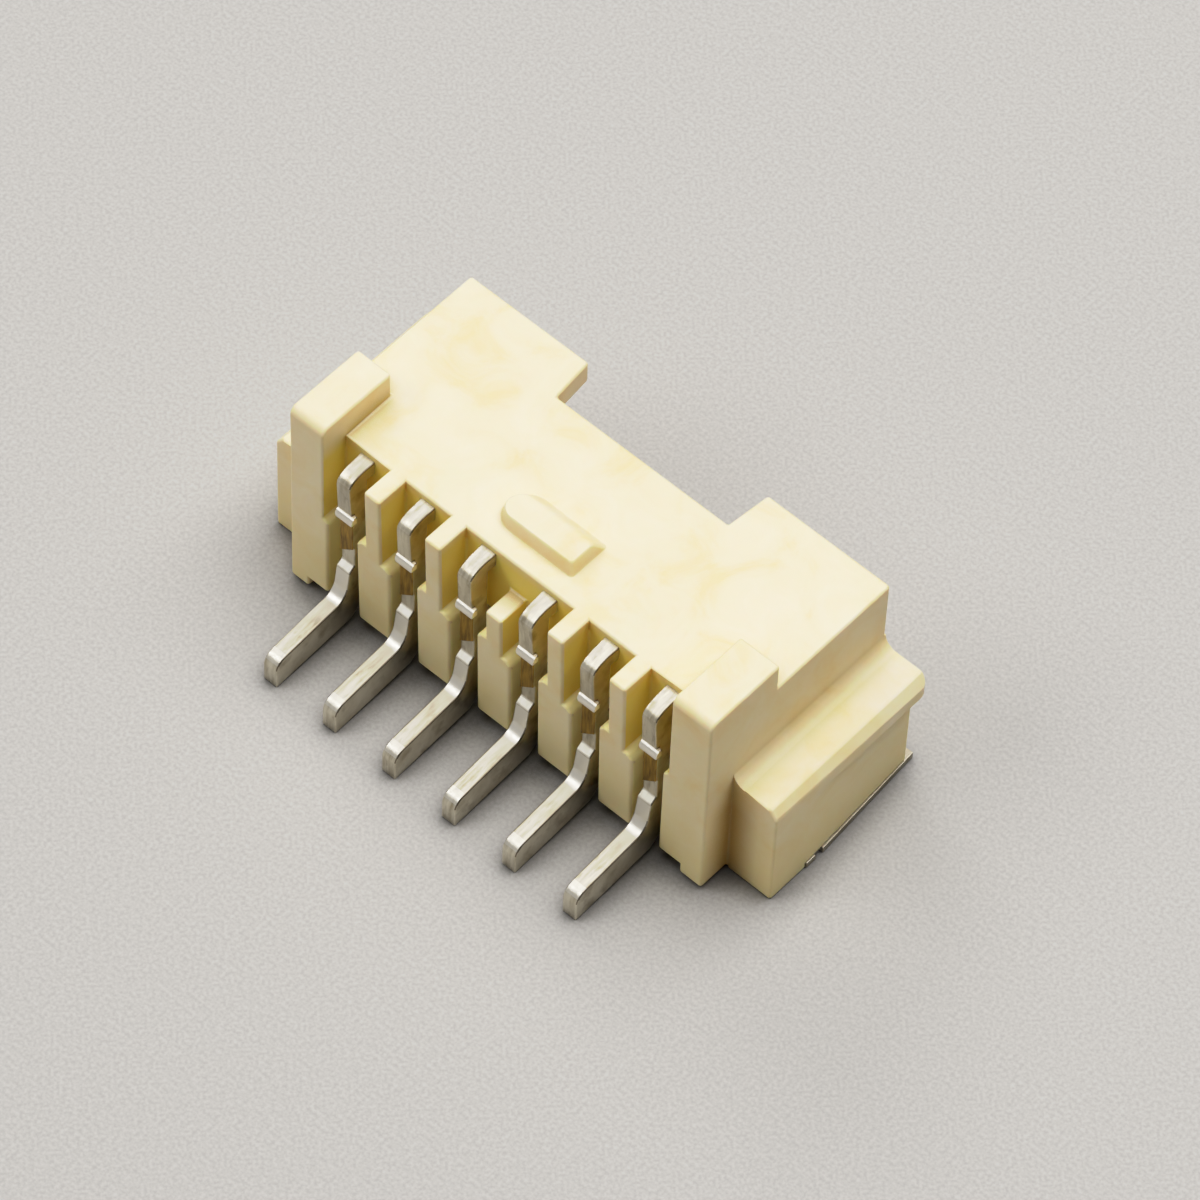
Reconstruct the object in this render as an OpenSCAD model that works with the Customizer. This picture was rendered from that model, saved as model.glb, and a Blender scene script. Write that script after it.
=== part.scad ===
// Side-entry wafer connector for a circuit board: one moulded housing, a row of blanked
// terminals pressed into its back, and a solder tab under each side wing.
// Millimetres, +Z up. The board is z = 0, the plug enters from +Y, the solder tails leave at -Y.

/* [Contacts] */
// Number of contacts in the row
circuits = 6; // [4:1:12]
// Distance between neighbouring contacts
pitch = 1.25; // [1.15:0.05:1.6]

/* [Housing] */
// From the last contact's centre to the body's side face
end_margin = 1.165; // [1.05:0.005:1.4]
// Depth of the body, from its rear face to its mating face
body_depth = 4.08; // [3.6:0.02:5]
// Height of the top plate's upper face above the board
plate_z = 3.84; // [3.7:0.02:4.4]
// Thickness of the top plate over the mating cavity
plate_t = 0.46; // [0.36:0.02:0.6]
// Gap between the board and the underside of the body
standoff = 0.3; // [0.2:0.02:0.4]
// Thickness of the walls at the two ends of the mating cavity
side_wall = 0.36; // [0.28:0.02:0.6]
// Thickness of the wall under the mating cavity
floor_wall = 0.42; // [0.3:0.02:0.6]
// Thickness of the wall that holds the terminals, from the upper bays to the cavity
holding_wall = 1.14; // [1:0.02:1.5]
// Radius of the plate's front corners, seen from above
corner_r = 0.06; // [0.02:0.02:0.2]
// Width of the foot under the left rear pillar
left_foot_w = 0.38; // [0.3:0.02:0.6]
// Width of the foot under the right rear pillar
right_foot_w = 0.45; // [0.35:0.05:0.6]
// Gap between the board and those feet
foot_gap = 0.09; // [0.02:0.01:0.15]

/* [Terminal bays] */
// Depth of the bays' upper part, which is also how far the plate stops short of the rear
bay_depth = 0.51; // [0.45:0.01:0.6]
// Width of the bays' upper part
bay_w = 0.93; // [0.8:0.01:0.96]
// Depth of the bays' lower part
slot_depth = 0.36; // [0.3:0.01:0.42]
// Width of the bays' lower part
slot_w = 0.56; // [0.48:0.01:0.66]
// From the first contact's centre to the left side of its bay's lower part
first_slot = 0.37; // [0.28:0.01:0.4]
// From the last contact's centre to the right ear
last_bay = 0.38; // [0.36:0.01:0.48]
// Height of the ledge on a bay's left, where the bay narrows
left_ledge_z = 2.18; // [2:0.02:2.4]
// Height of the ledge on a bay's right
right_ledge_z = 2.42; // [2.2:0.02:2.6]
// Chamfer along the edge of both ledges
ledge_chamfer = 0.1; // [0.03:0.01:0.14]
// How far the dividers lean out behind the pillars at their top
divider_lean = 0.09; // [0.02:0.01:0.12]
// How far the middle divider's top lies under the plate's upper face
gate_drop = 0.7; // [0.4:0.05:0.9]

/* [Ears and bar] */
// Height of the ears above the plate
ear_h = 0.56; // [0.3:0.02:0.8]
// Length of the ears, from the rear face
ear_l = 1.53; // [1.2:0.05:2]
// Radius along the ears' upper rear edge
ear_r = 0.16; // [0.08:0.02:0.24]
// Length of the raised bar on the plate
bar_l = 1.66; // [1.3:0.02:2]
// How far the middle of the bar lies left of the middle of the plate
bar_left = 0.12; // [0:0.02:0.3]
// Width of the raised bar at its foot
bar_w = 0.8; // [0.7:0.02:1]
// Height of the raised bar
bar_h = 0.24; // [0.15:0.01:0.35]
// From the rear face to the foot of the raised bar
bar_y = 0.89; // [0.8:0.01:1.2]
// Width of the bar's slope on the mating side
bar_slope = 0.22; // [0.1:0.02:0.34]
// Width of the bar's slopes on its other sides
bar_draft = 0.08; // [0.04:0.02:0.14]

/* [Front notch] */
// Width of the plate's lobe on each side of the notch, at the mating face
lobe_w = 2.46; // [2.2:0.02:2.6]
// Depth of the notch
notch_depth = 0.82; // [0.5:0.02:1.1]
// How much each lobe widens towards the bottom of the notch
notch_taper = 0.08; // [0.02:0.01:0.15]

/* [Wings] */
// How far each wing stands out from the body's side
wing_w = 0.88; // [0.75:0.01:1.1]
// Height of the wings' flat top
wing_z = 2.32; // [2:0.02:2.7]
// From the body's rear face to the wings' rear face
wing_rear = 0.6; // [0.5:0.05:0.9]
// Radius of the hollow between a wing and the body's side
wing_fillet = 0.24; // [0.12:0.02:0.3]
// Width of the chamfer on a wing's upper edge
wing_chamfer_w = 0.14; // [0.06:0.02:0.22]
// Height of the chamfer on a wing's upper edge
wing_chamfer_h = 0.19; // [0.06:0.01:0.3]
// Height of the wing's upper band that runs on to the mating face
flange_h = 0.44; // [0.34:0.02:0.7]
// How far the wing below that band stops short of the mating face
wing_setback = 0.2; // [0.1:0.02:0.3]
// How much the wing below that band narrows towards the mating face
wing_taper = 0.15; // [0.04:0.01:0.2]
// Radius of the wing's front corner, seen from above
wing_corner_r = 0.12; // [0.04:0.02:0.2]

/* [Terminals] */
// Thickness of the sheet that the terminals are blanked from
terminal_t = 0.28; // [0.2:0.01:0.32]
// How far a terminal's back stands out behind the rear face
back_out = 0.05; // [0:0.01:0.1]
// How far the terminal's arm lies under the plate's upper face
arm_drop = 0.14; // [0.1:0.01:0.2]
// Height of the arm that is pressed into the holding wall
arm_h = 0.28; // [0.2:0.01:0.34]
// How far the arm reaches into the holding wall
arm_grip = 0.75; // [0.5:0.05:0.85]
// Length of the arm's top that curves down towards the rear
crown_l = 0.38; // [0.2:0.02:0.44]
// How far it curves down
crown_drop = 0.13; // [0.05:0.01:0.18]
// How far the terminal's back leans in from there down to the lip
neck_in = 0.04; // [0:0.01:0.06]
// Height of the middle of the contact blade
blade_z = 2; // [1.85:0.05:2.2]
// Height of the contact blade
blade_h = 0.46; // [0.36:0.02:0.6]
// How far the blade's tip stays behind the mating face
blade_short = 0.65; // [0.5:0.05:1]
// Length of the blade's tapered tip
blade_tip = 0.3; // [0.2:0.02:0.4]
// Height of the lower end of the bare mark where the terminal was cut from its strip
scar_z = 1.66; // [1.6:0.02:1.8]
// Height of that bare mark
scar_h = 0.94; // [0.8:0.02:1.1]
// Depth of that bare mark
scar_d = 0.08; // [0.07:0.01:0.1]
// How far the lip over the bare mark stands out
lip_out = 0.05; // [0.02:0.01:0.08]
// Height of the lip
lip_h = 0.22; // [0.12:0.01:0.26]
// How far the cut has pushed the lip out on the right
lip_skew = 0.07; // [0:0.01:0.1]
// How deep the pushed lip shows on the terminal's side
lip_deep = 0.11; // [0.06:0.01:0.2]
// Height where the back of the terminal steps out towards the tail
jog_z = 1.24; // [1.16:0.02:1.3]
// How far it steps out there
jog_out = 0.12; // [0.11:0.01:0.15]
// Height of that step
jog_h = 0.2; // [0.1:0.01:0.3]
// How far the terminal leans out from the step down to the tail
root_out = 0.07; // [0.04:0.01:0.2]
// Radius between that stretch and the tail
root_r = 0.14; // [0.06:0.02:0.2]
// How far the solder tail reaches behind the rear face
tail_reach = 1.69; // [1.2:0.05:2.2]
// Height of the solder tail
tail_h = 0.62; // [0.4:0.02:0.66]
// How much the tail rises from its tip to its root
tail_rise = 0.13; // [0.05:0.01:0.2]
// Radius over the tail's tip
tip_r = 0.24; // [0.08:0.02:0.3]

/* [Solder tabs] */
// Thickness of the sheet that the solder tabs are bent from
tab_t = 0.12; // [0.1:0.01:0.16]
// Length of a tab's foot, back from the mating face
tab_l = 2.66; // [2.2:0.02:2.9]
// Width of a tab's foot
tab_w = 0.58; // [0.4:0.02:0.7]
// How far the foot stands out past the wing's side
tab_out = 0.02; // [0:0.01:0.05]
// How much the foot narrows towards the mating face
tab_taper = 0.15; // [0:0.01:0.2]
// Length of the foot's rear tongue, up to its notch
tongue_l = 0.22; // [0.15:0.01:0.3]
// Length of that notch
tab_notch_l = 0.16; // [0.1:0.01:0.2]
// Depth of that notch
tab_notch_d = 0.06; // [0.03:0.01:0.1]
// Height of the blade that is pressed up into the wing
tab_h = 1.4; // [1:0.05:1.5]
// How far that blade stays behind the ends of the foot
tab_inset = 0.45; // [0.35:0.05:0.6]

/* [Hidden] */
// Gap round a pressed-in piece
fit = 0.01;
// How far a cut runs past the face that it opens
past = 0.5;
$fn = 48;

row_l = (circuits - 1) * pitch;
body_x = row_l / 2 + end_margin;
wing_x = body_x + wing_w;
// The part's origin is under the middle of its outline, tails included
rear_y = -(body_depth - tail_reach) / 2;

left_ear_x = row_l / 2 + bay_w / 2;
right_ear_x = row_l / 2 + last_bay;
ear_z = plate_z + ear_h;
cavity_x = body_x - side_wall;
cavity_y = bay_depth + holding_wall;
cavity_z = standoff + floor_wall;
plate_under = plate_z - plate_t;
flange_z = wing_z - flange_h;
wing_front = body_depth - wing_setback;

back_y = -back_out;
arm_top = plate_z - arm_drop;
arm_under = arm_top - arm_h;
arm_end = bay_depth + arm_grip;
crown_r = (crown_l * crown_l + crown_drop * crown_drop) / (2 * crown_drop);
spine_front = slot_depth - fit;
neck_y = back_y + neck_in;
scar_top = scar_z + scar_h;
blade_under = blade_z - blade_h / 2;
blade_top = blade_z + blade_h / 2;
blade_end = body_depth - blade_short;

tab_outer = wing_x + tab_out;
tab_inner = tab_outer - tab_w;
tab_y = body_depth - tab_l;

ivory = "#F2E6C4";
tin = "#C9C6C0";

// Centre of contact i, counted from the left
function contact_x(i) = (i - (circuits + 1) / 2) * pitch;

// Points on an arc from angle a0 to a1
function arc(centre, r, a0, a1, steps = 8) = [
    for (k = [0:steps])
        let (a = a0 + (a1 - a0) * k / steps)
        centre + r * [cos(a), sin(a)]
];

// Draws a Y-Z outline from x0 to x1
module slab_yz(x0, x1) {
    translate([x0, 0, 0])
        rotate([90, 0, 90])
            linear_extrude(x1 - x0)
                children();
}

// Draws an X-Z outline from y0 to y1
module bar_xz(y0, y1) {
    translate([0, y1, 0])
        rotate([90, 0, 0])
            linear_extrude(y1 - y0)
                children();
}

// A box given by its two corners
module span(low, high) {
    translate(low)
        cube(high - low);
}

// What is cut from a square corner at the origin to leave a radius, seen from above
module corner_cut(r, z0, z1) {
    translate([0, 0, z0])
        linear_extrude(z1 - z0)
            difference() {
                translate([-r, -r])
                    square(r + past);
                translate([-r, -r])
                    circle(r);
                translate([-r, -r - past])
                    square([past + r, past]);
                translate([-r - past, -r])
                    square([past, past + r]);
            }
}

// The housing

// Ear and pillar in one outline, seen from the side, with the rounded upper rear edge
module ear(inner_x) {
    slab_yz(inner_x, body_x)
        polygon(concat(
            [[0, standoff], [ear_l, standoff], [ear_l, ear_z]],
            arc([ear_r, ear_z - ear_r], ear_r, 90, 180)
        ));
}

// One wing: hollow against the body, flat top and chamfered edge, cut back below its band
module wing() {
    inside = body_x - side_wall / 2;
    difference() {
        bar_xz(wing_rear, body_depth)
            polygon(concat(
                [[inside, standoff], [body_x, standoff], [body_x, 0], [wing_x, 0]],
                [[wing_x, wing_z - wing_chamfer_h], [wing_x - wing_chamfer_w, wing_z]],
                arc([body_x + wing_fillet, wing_z + wing_fillet], wing_fillet, 270, 180),
                [[inside, wing_z + wing_fillet]]
            ));
        wing_relief();
        translate([wing_x, body_depth, 0])
            corner_cut(wing_corner_r, -past, wing_z + past);
        tab_seat();
    }
}

// What is cut from a wing below its band: the rounded step at the mating face, and the taper
module wing_relief() {
    slab_yz(body_x, wing_x + past)
        polygon(concat(
            [[wing_front, -past], [body_depth + past, -past], [body_depth + past, flange_z + wing_setback]],
            arc([wing_front, flange_z + wing_setback], wing_setback, 0, -90)
        ));
    translate([0, 0, -past])
        linear_extrude(flange_z + past)
            polygon([[wing_x, tab_y], [wing_x + past, tab_y], [wing_x + past, body_depth],
                [wing_x - wing_taper, body_depth]]);
}

// Room under the wing for the solder tab's foot and blade
module tab_seat() {
    span([tab_inner + tab_t - fit, tab_y - fit, -past], [wing_x + past, body_depth + past, tab_t]);
    span([tab_inner - fit, tab_y + tab_inset - fit, -past],
        [tab_inner + tab_t + fit, body_depth - tab_inset + fit, tab_t + tab_h + fit]);
}

// The raised bar: sloped all round, most towards the mating face, and round at its left end
module key_bar() {
    root_z = plate_z - plate_t / 2;
    top_z = plate_z + bar_h;
    left = -bar_left - bar_l / 2;
    right = left + bar_l;
    round_x = left + bar_w / 2;
    intersection() {
        slab_yz(left, right)
            polygon([[bar_y, root_z], [bar_y + bar_w, root_z], [bar_y + bar_w, plate_z],
                [bar_y + bar_w - bar_slope, top_z], [bar_y + bar_draft, top_z], [bar_y, plate_z]]);
        union() {
            translate([round_x, bar_y + bar_w / 2, plate_z])
                cylinder(bar_h, bar_w / 2, bar_w / 2 - bar_draft);
            bar_xz(bar_y, bar_y + bar_w)
                polygon([[round_x, root_z], [right, root_z], [right, plate_z],
                    [right - bar_draft, top_z], [round_x, top_z]]);
        }
    }
}

// The solid block behind the plate that the bays divide: its rear face leans out towards the top
module divider_block() {
    slab_yz(-row_l / 2, row_l / 2)
        polygon([[0, standoff], [bay_depth, standoff], [bay_depth, plate_z], [-divider_lean, plate_z]]);
}

// The bay of one terminal: wide above its two ledges, narrow below them
module bay(left_slot, right) {
    left = bay_w / 2;
    slot = slot_w / 2;
    left_flare = left_slot + min(ledge_chamfer, left - left_slot);
    right_flare = slot + min(ledge_chamfer, right - slot);
    bar_xz(-past, bay_depth)
        polygon([[-left, left_ledge_z], [slot, left_ledge_z], [slot, right_ledge_z],
            [right, right_ledge_z], [right, ear_z + past], [-left, ear_z + past]]);
    bar_xz(-past, slot_depth)
        polygon([[-left_slot, -past], [slot, -past],
            [slot, right_ledge_z - (right_flare - slot)], [right_flare, right_ledge_z],
            [right_flare, plate_z], [-left_flare, plate_z],
            [-left_flare, left_ledge_z], [-left_slot, left_ledge_z - (left_flare - left_slot)]]);
}

// The holes in the holding wall for one terminal's arm and blade
module terminal_holes() {
    half = terminal_t / 2 + fit;
    span([-half, 0, arm_under - fit], [half, arm_end + fit, arm_top + fit]);
    span([-half, 0, blade_under - fit], [half, cavity_y + past, blade_top + fit]);
}

// The notch in the plate's front edge, a little narrower at its bottom
module front_notch() {
    mouth = body_x - lobe_w;
    translate([0, 0, plate_under - past])
        linear_extrude(plate_t + 2 * past)
            polygon([
                [-mouth, body_depth], [-mouth + notch_taper, body_depth - notch_depth],
                [mouth - notch_taper, body_depth - notch_depth], [mouth, body_depth],
                [mouth, body_depth + past], [-mouth, body_depth + past]
            ]);
}

module housing() {
    color(ivory)
        translate([0, rear_y, 0])
            difference() {
                union() {
                    span([-body_x, 0, standoff], [body_x, body_depth, plate_z]);
                    divider_block();
                    key_bar();
                    for (side = [0, 1])
                        mirror([side, 0, 0]) {
                            ear(side == 0 ? right_ear_x : left_ear_x);
                            wing();
                            span([body_x - (side == 0 ? right_foot_w : left_foot_w), 0, foot_gap],
                                [body_x, ear_l, standoff]);
                        }
                }
                for (i = [1:circuits])
                    translate([contact_x(i), 0, 0]) {
                        bay(i == 1 ? first_slot : slot_w / 2, i == circuits ? last_bay : bay_w / 2);
                        terminal_holes();
                    }
                span([-cavity_x, cavity_y, cavity_z], [cavity_x, body_depth + past, plate_under]);
                front_notch();
                span([contact_x(floor(circuits / 2)), -past, plate_z - gate_drop],
                    [contact_x(floor(circuits / 2) + 1), bay_depth, plate_z + past]);
                for (side = [0, 1])
                    mirror([side, 0, 0])
                        translate([body_x, body_depth, 0])
                            corner_cut(corner_r, wing_z + wing_fillet, plate_z + past);
            }
}

// The terminals

// Outline of a terminal, seen from the side: tail, spine, blade and arm
module terminal_outline() {
    root_y = back_y - root_out;
    tail_top = tail_h + tail_rise;
    nose = blade_h / 3;
    polygon(concat(
        [[-tail_reach, 0], [0, tail_rise], [spine_front, standoff + tail_rise]],
        [[spine_front, blade_under], [blade_end - blade_tip, blade_under]],
        [[blade_end, blade_under + nose], [blade_end, blade_top - nose]],
        [[blade_end - blade_tip, blade_top], [spine_front, blade_top]],
        [[spine_front, arm_under], [arm_end, arm_under], [arm_end, arm_top]],
        arc([back_y + crown_l, arm_top - crown_r], crown_r, 90, 90 + asin(crown_l / crown_r)),
        [[neck_y, scar_top + lip_h], [neck_y, scar_top], [back_y + scar_d, scar_top]],
        [[back_y + scar_d, scar_z], [back_y + jog_out, scar_z]],
        [[back_y + jog_out, jog_z + jog_h], [back_y, jog_z]],
        arc([root_y - root_r, tail_top + root_r], root_r, 0, -90),
        arc([tip_r - tail_reach, tail_h - tip_r], tip_r, 90, 180)
    ));
}

// Outline of the lip that the cut has left over the bare mark, seen from the side: a bead that is
// round at its top
module lip_outline() {
    in_y = back_y + lip_deep;
    foot = lip_h / 4;
    polygon(concat(
        [[neck_y - lip_out, scar_top], [in_y, scar_top], [in_y, scar_top + lip_h]],
        [for (a = [90:-15:0])
            [neck_y - lip_out * cos(a), scar_top + foot + (lip_h - foot) * sin(a)]]
    ));
}

module terminal(i) {
    half = terminal_t / 2;
    color(tin)
        translate([contact_x(i), rear_y, 0]) {
            slab_yz(-half, half)
                terminal_outline();
            slab_yz(-half, lip_skew + half)
                lip_outline();
        }
}

// The solder tabs

// A tab for the right wing: notched foot on the board, blade bent up into the wing
module solder_tab() {
    notch_y = tab_y + tongue_l;
    bend_x = tab_inner + tab_t;
    translate([0, rear_y, 0]) {
        linear_extrude(tab_t)
            polygon([[bend_x, tab_y], [tab_outer, tab_y], [tab_outer, notch_y],
                [tab_outer - tab_notch_d, notch_y], [tab_outer - tab_notch_d, notch_y + tab_notch_l],
                [tab_outer, notch_y + tab_notch_l], [tab_outer - tab_taper, body_depth],
                [bend_x, body_depth]]);
        bar_xz(tab_y + tab_inset, body_depth - tab_inset)
            polygon(concat(
                [[bend_x + tab_t, 0], [bend_x + tab_t, tab_t], [bend_x, tab_t]],
                [[bend_x, tab_t + tab_h], [tab_inner, tab_t + tab_h]],
                arc([bend_x, tab_t], tab_t, 180, 270)
            ));
    }
}

module left_solder_tab() {
    color(tin)
        mirror([1, 0, 0])
            solder_tab();
}

module right_solder_tab() {
    color(tin)
        solder_tab();
}

housing();
for (i = [1:circuits])
    terminal(i);
left_solder_tab();
right_solder_tab();
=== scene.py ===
from math import cos, radians, sin

import bmesh
import bpy
import numpy as np
from mathutils import Matrix, Vector


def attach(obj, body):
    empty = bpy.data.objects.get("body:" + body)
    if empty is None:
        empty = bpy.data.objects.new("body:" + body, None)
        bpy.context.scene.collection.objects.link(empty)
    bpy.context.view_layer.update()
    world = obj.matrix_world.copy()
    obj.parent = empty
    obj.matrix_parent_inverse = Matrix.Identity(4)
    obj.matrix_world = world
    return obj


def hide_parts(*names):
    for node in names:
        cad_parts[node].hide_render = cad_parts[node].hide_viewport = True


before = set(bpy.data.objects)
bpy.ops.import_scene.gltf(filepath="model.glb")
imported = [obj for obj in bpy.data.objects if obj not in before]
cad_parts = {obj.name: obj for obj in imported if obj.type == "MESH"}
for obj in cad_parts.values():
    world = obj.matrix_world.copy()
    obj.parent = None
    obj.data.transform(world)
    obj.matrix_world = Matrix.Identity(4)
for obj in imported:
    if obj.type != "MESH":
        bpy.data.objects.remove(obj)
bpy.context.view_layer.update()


# The housing: one injection moulding in natural, ivory-coloured nylon. Plate, ears, key bar, rear
# bays and wings leave the mould together, so every edge keeps the small radius of the tool and the
# faces its fine spark-eroded skin. The nylon is a little translucent; the amber of the deep bays is painted
# shade.

# Sizes are in millimetres. REAR is the y of the pillars' rear face, PLATE_Z the height of the plate.
MM = 0.001
REAR, PLATE_Z = -1.195, 3.84
CONTACT_COUNT, PITCH = 6, 1.25
CONTACTS = (np.arange(CONTACT_COUNT) - (CONTACT_COUNT - 1) / 2) * PITCH
HOUSING_EDGE, BLOCK_EDGE = 0.05, 0.12
# Heights of the seams through the arms' and the blades' holes, and how far out they run
ARM_Z, BLADE_Z, SEAM_REACH = 3.57, 2.0, 4.2
# The CAD key bar's place on the plate
BAR_LOW, BAR_HIGH = (-0.96, REAR + 0.88), (0.72, REAR + 1.78)
# The right rear edges of the lower divider blocks, which are rounder than the rest
BLOCKS = [((x - 0.42, REAR - 0.06, 0.5), (x - 0.2, REAR + 0.02, 2.1)) for x in CONTACTS]
# Edges that stay crisp: the wing's step at the mating face, its hollow's rear end, the arms' holes
CRISP = (((4.2, REAR + 3.8, -0.1), (5.3, REAR + 4.2, 2.7)),
         ((4.2, REAR + 0.5, 2.2), (4.55, REAR + 0.7, 2.7)),
         ((0, REAR + 0.49, 3.3), (3.6, REAR + 0.53, 3.75)))
# Turns above which an edge is sharp and below which two faces are one
SHARP, FLAT = radians(25), radians(0.5)
# How close points count as one, as on a floor and as on a seam, and a guard for divisions
MERGE, FLOOR_TOUCH, SEAM_TOUCH, TINY = 0.0005, 0.01, 1e-5, 1e-12
# Shares of the room beside an edge that its rounding may take, and the steps it is made in
AREA_SHARE, GAP_SHARE, ROUND_STEPS = 0.9, 0.45, 3
# An edge of less weight stays sharp, and a corner normal of less cosine to its face is set back to it
LEAST_WEIGHT, FACE_WEIGHT, STRAY = 0.01, 100, 0.6


def edge_table(mesh):
    """For each edge of a closed mesh: its two faces, the cosine of the turn between them, its first
    point, its run to the other, and its two vertices."""
    normal, start = np.empty(len(mesh.polygons) * 3), np.empty(len(mesh.polygons), int)
    edge_of, ends = np.empty(len(mesh.loops), int), np.empty(len(mesh.edges) * 2, int)
    co = np.empty(len(mesh.vertices) * 3)
    mesh.polygons.foreach_get("normal", normal)
    mesh.polygons.foreach_get("loop_start", start)
    mesh.loops.foreach_get("edge_index", edge_of)
    mesh.edges.foreach_get("vertices", ends)
    mesh.vertices.foreach_get("co", co)
    normal, ends, co = normal.reshape(-1, 3), ends.reshape(-1, 2), co.reshape(-1, 3)
    face_of = np.repeat(np.arange(len(start)), np.diff(np.append(start, len(edge_of))))
    one, two = face_of[np.argsort(edge_of, kind="stable")].reshape(-1, 2).T
    turn = np.einsum("ij,ij->i", normal[one], normal[two])
    return one, two, turn, co[ends[:, 0]], co[ends[:, 1]] - co[ends[:, 0]], ends


def way(points, low, run):
    """The distance of each point from each line, a line being its first point and its run."""
    to = points[:, None] - low
    along = np.einsum("ijk,jk->ij", to, run) / np.maximum((run ** 2).sum(axis=1), TINY)
    return np.linalg.norm(to - np.clip(along, 0, 1)[..., None] * run, axis=2)


def in_box(points, box):
    """Which of the points lie inside a box, which is its lowest and its highest corner."""
    low, high = np.array(box)
    return ((points > low) & (points < high)).all(axis=1)


def merged_copy(node, name, seams, drop):
    """A CAD node's mesh in millimetres, with its doubles merged and its flat triangles joined.

    Seams at some heights are kept, so that no flat face has a hole in it. What stands above the floor
    of a place is dropped, and the hole that it leaves is filled.
    """
    bm = bmesh.new()
    bm.from_mesh(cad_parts[node].data)
    bmesh.ops.scale(bm, vec=(1 / MM, 1 / MM, 1 / MM), verts=bm.verts)
    bmesh.ops.remove_doubles(bm, verts=bm.verts, dist=MERGE)
    if drop:
        low, high, floor_z = drop
        gone = [f for f in bm.faces if max(v.co.z for v in f.verts) > floor_z + FLOOR_TOUCH
                and all(low[0] < v.co.x < high[0] and low[1] < v.co.y < high[1]
                        and v.co.z > floor_z - FLOOR_TOUCH for v in f.verts)]
        bmesh.ops.delete(bm, geom=gone, context="FACES")
        bmesh.ops.holes_fill(bm, edges=[e for e in bm.edges if e.is_boundary], sides=0)
    for z in seams:
        near = [f for f in bm.faces if abs(f.calc_center_median().x) < SEAM_REACH]
        geom = dict.fromkeys(part for f in near for part in (*f.verts, *f.edges, f))
        cut = bmesh.ops.bisect_plane(bm, geom=list(geom), dist=SEAM_TOUCH,
                                     plane_co=(0, 0, z), plane_no=(0, 0, 1))
        for part in cut["geom_cut"]:
            if isinstance(part, bmesh.types.BMEdge):
                part.seam = True
    bmesh.ops.dissolve_limit(bm, angle_limit=FLAT, use_dissolve_boundaries=False,
                             verts=bm.verts, edges=bm.edges, delimit={"SEAM"})
    plain = bpy.data.meshes.new(name + "_plain")
    bm.to_mesh(plain)
    bm.free()
    return plain


def rounding(mesh, radius, crisp, wide, wide_radius):
    """For each edge of a mesh whether it is sharp and by what radius it is rounded, and the largest.

    Each edge that turns by more than SHARP is rounded by the radius, or by its own one inside the wide
    boxes, and by less where there is less room: AREA_SHARE of a face's area over its outline's length,
    or GAP_SHARE of the way to another edge of that face. Faces that run smoothly into each other count
    as one. Edges inside the crisp boxes, which stand for both sides, stay as they are.
    """
    one, two, turn, low, run, ends = edge_table(mesh)
    sharp, faces = turn < cos(SHARP), len(mesh.polygons)
    group, before = np.arange(faces), None
    while before is None or (group != before).any():
        before = group.copy()
        least = np.minimum(group[one], group[two])[~sharp]
        np.minimum.at(group, one[~sharp], least)
        np.minimum.at(group, two[~sharp], least)
    area = np.empty(faces)
    mesh.polygons.foreach_get("area", area)
    sides = np.sort(np.stack([group[one], group[two]], axis=1)[sharp], axis=1)
    low, run, ends = low[sharp], run[sharp], ends[sharp]
    length, middle = np.linalg.norm(run, axis=1), low + run / 2
    outline = np.bincount(sides[:, 0], length, faces) + np.bincount(sides[:, 1], length, faces)
    depth = np.bincount(group, area, faces) / np.maximum(outline, TINY)
    room = AREA_SHARE * depth[sides].min(axis=1)
    gap = way(middle, low, run)
    gap = np.minimum(gap, gap.T)
    meet = (ends[:, None, :, None] == ends[None, :, None, :]).any(axis=(2, 3))
    shared = (sides[:, None, :, None] == sides[None, :, None, :]).any(axis=(2, 3))
    chain = (sides[:, None] == sides).all(axis=2)
    gap[meet | chain | ~shared] = np.inf
    most = np.full(len(middle), radius)
    for box in wide:
        most[in_box(middle, box)] = wide_radius
    rounded = np.minimum(np.minimum(room, GAP_SHARE * gap.min(axis=1)), most).clip(0)
    on_right = middle * np.where(low[:, :1] < 0, (-1, 1, 1), 1)
    for box in crisp:
        rounded[in_box(on_right, box)] = 0
    radii = np.zeros(len(sharp))
    radii[sharp] = rounded
    return sharp, radii, most.max()


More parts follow.
